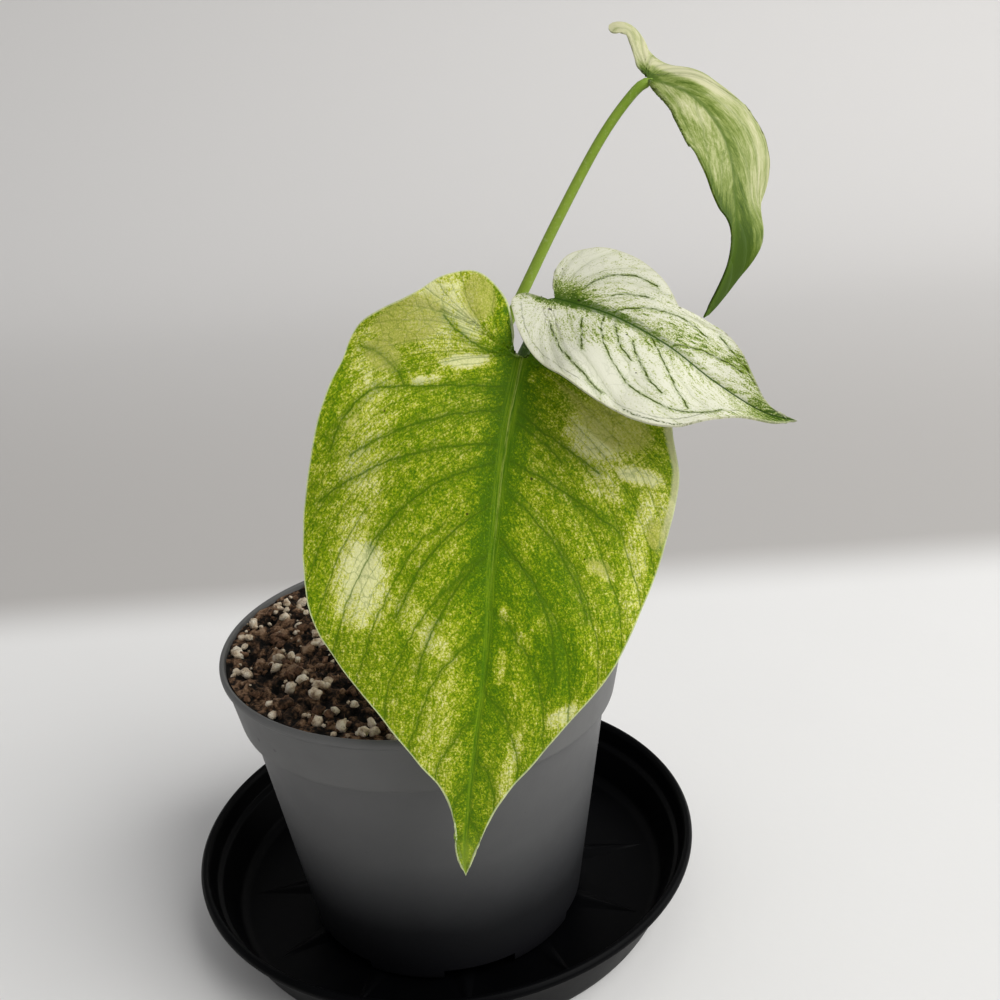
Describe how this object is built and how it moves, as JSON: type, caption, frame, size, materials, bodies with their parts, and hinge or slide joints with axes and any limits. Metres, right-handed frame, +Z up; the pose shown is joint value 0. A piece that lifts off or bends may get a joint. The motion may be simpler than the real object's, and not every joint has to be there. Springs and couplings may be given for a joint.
{
  "type": "potted monstera plant",
  "caption": "Young variegated climbing plant with heart-shaped leaves on long stalks, in a round plastic nursery pot filled with soil, standing on a round black saucer.",
  "frame": {"origin": "centre of the saucer's flat underside", "axes": "+Z up, -Y toward the side that the large leaf hangs on, +X to the right seen from that side"},
  "size_m": [0.1843, 0.1599, 0.2602],
  "materials": {
    "saucer_plastic": "satin black moulded plastic",
    "pot_plastic": "satin mid-grey moulded plastic",
    "soil": "rough damp peat mix with cream perlite grains",
    "stem": "smooth waxy green with brown leaf scars",
    "petiole": "smooth waxy light green",
    "leaf_lime": "glossy, lime green mottled with cream",
    "leaf_cream": "satin, cream white with dark green veins",
    "leaf_pale": "satin, pale green streaked with cream"
  },
  "bodies": {
    "root": {"saucer": "saucer_plastic", "pot": "pot_plastic", "soil": "soil", "stem": "stem", "petiole_front": "petiole", "petiole_side": "petiole", "petiole_high": "petiole", "leaf_front": "leaf_lime", "leaf_side": "leaf_cream", "leaf_high": "leaf_pale"}
  },
  "joints": []
}
